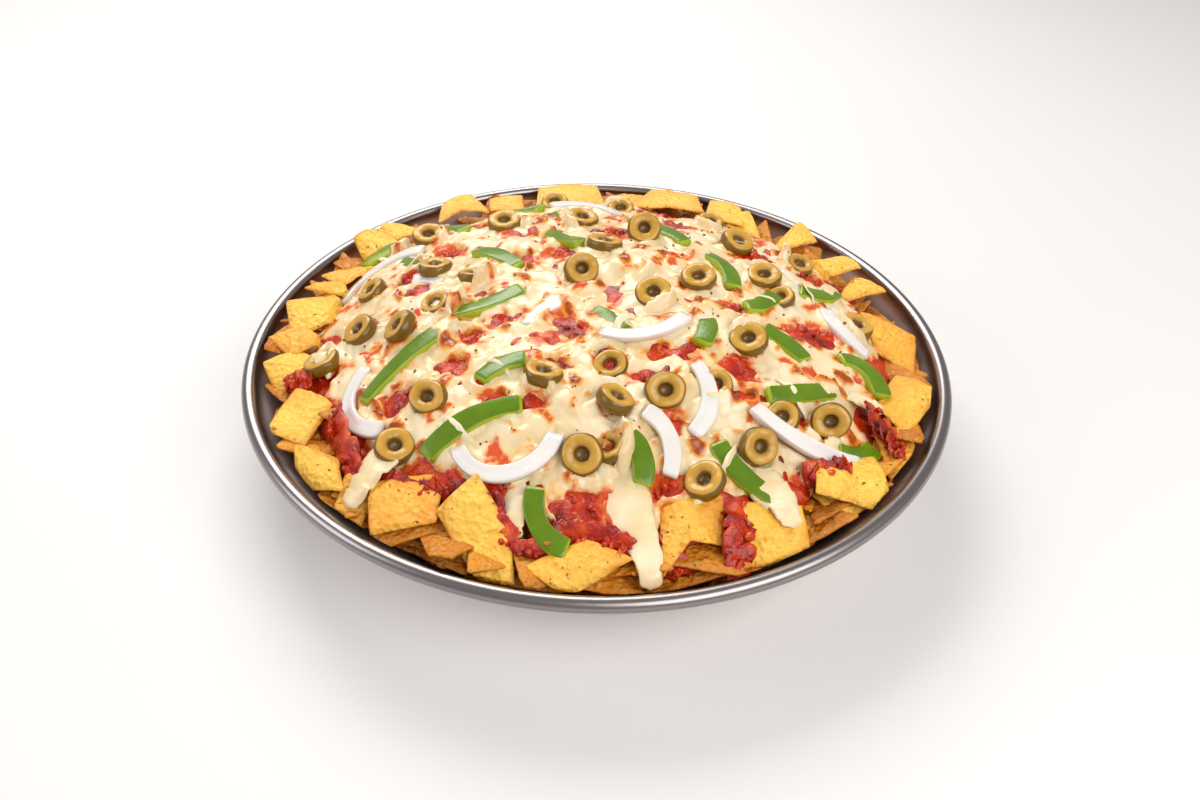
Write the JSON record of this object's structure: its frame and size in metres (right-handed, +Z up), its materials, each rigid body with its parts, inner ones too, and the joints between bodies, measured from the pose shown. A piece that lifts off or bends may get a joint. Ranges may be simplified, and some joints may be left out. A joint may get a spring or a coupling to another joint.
{
  "type": "nachos in a round pan",
  "caption": "Round steel pan heaped with tortilla chips under chunky red salsa and melted cheese, topped with olive rings, green pepper strips and onion arcs.",
  "frame": {"origin": "middle of the pan's underside", "axes": "+Z up, +Y to the back, +X to the right as seen from the front"},
  "size_m": [0.3098, 0.3098, 0.0868],
  "materials": {
    "pan_steel": "polished stainless steel, smooth rolled rim",
    "tortilla": "fried corn tortilla, blistered and matt with a little oil",
    "salsa": "chunky cooked tomato sauce, wet and glossy",
    "melted_cheese": "melted mozzarella, soft gloss, small browned blisters",
    "green_olive": "sliced green olive, smooth and oily",
    "green_pepper": "sliced green bell pepper, shiny skin and pale cut faces",
    "white_onion": "sliced white onion, moist and slightly see-through"
  },
  "bodies": {
    "root": {"pan": "pan_steel", "chip_heap": "tortilla", "salsa": "salsa", "cheese": "melted_cheese", "olive_00": "green_olive", "olive_01": "green_olive", "olive_02": "green_olive", "olive_03": "green_olive", "olive_04": "green_olive", "olive_05": "green_olive", "olive_06": "green_olive", "olive_07": "green_olive", "olive_08": "green_olive", "olive_09": "green_olive", "olive_10": "green_olive", "olive_11": "green_olive", "olive_12": "green_olive", "olive_13": "green_olive", "olive_14": "green_olive", "olive_15": "green_olive", "olive_16": "green_olive", "olive_17": "green_olive", "olive_18": "green_olive", "olive_19": "green_olive", "olive_20": "green_olive", "olive_21": "green_olive", "olive_22": "green_olive", "olive_23": "green_olive", "olive_24": "green_olive", "olive_25": "green_olive", "pepper_00": "green_pepper", "pepper_01": "green_pepper", "pepper_02": "green_pepper", "pepper_03": "green_pepper", "pepper_04": "green_pepper", "pepper_05": "green_pepper", "pepper_06": "green_pepper", "pepper_07": "green_pepper", "pepper_08": "green_pepper", "pepper_09": "green_pepper", "pepper_10": "green_pepper", "pepper_11": "green_pepper", "pepper_12": "green_pepper", "pepper_13": "green_pepper", "pepper_14": "green_pepper", "pepper_15": "green_pepper", "pepper_16": "green_pepper", "pepper_17": "green_pepper", "pepper_18": "green_pepper", "pepper_19": "green_pepper", "pepper_20": "green_pepper", "onion_00": "white_onion", "onion_01": "white_onion", "onion_02": "white_onion", "onion_03": "white_onion", "onion_04": "white_onion", "onion_05": "white_onion", "onion_06": "white_onion", "onion_07": "white_onion", "onion_08": "white_onion"}
  },
  "joints": []
}
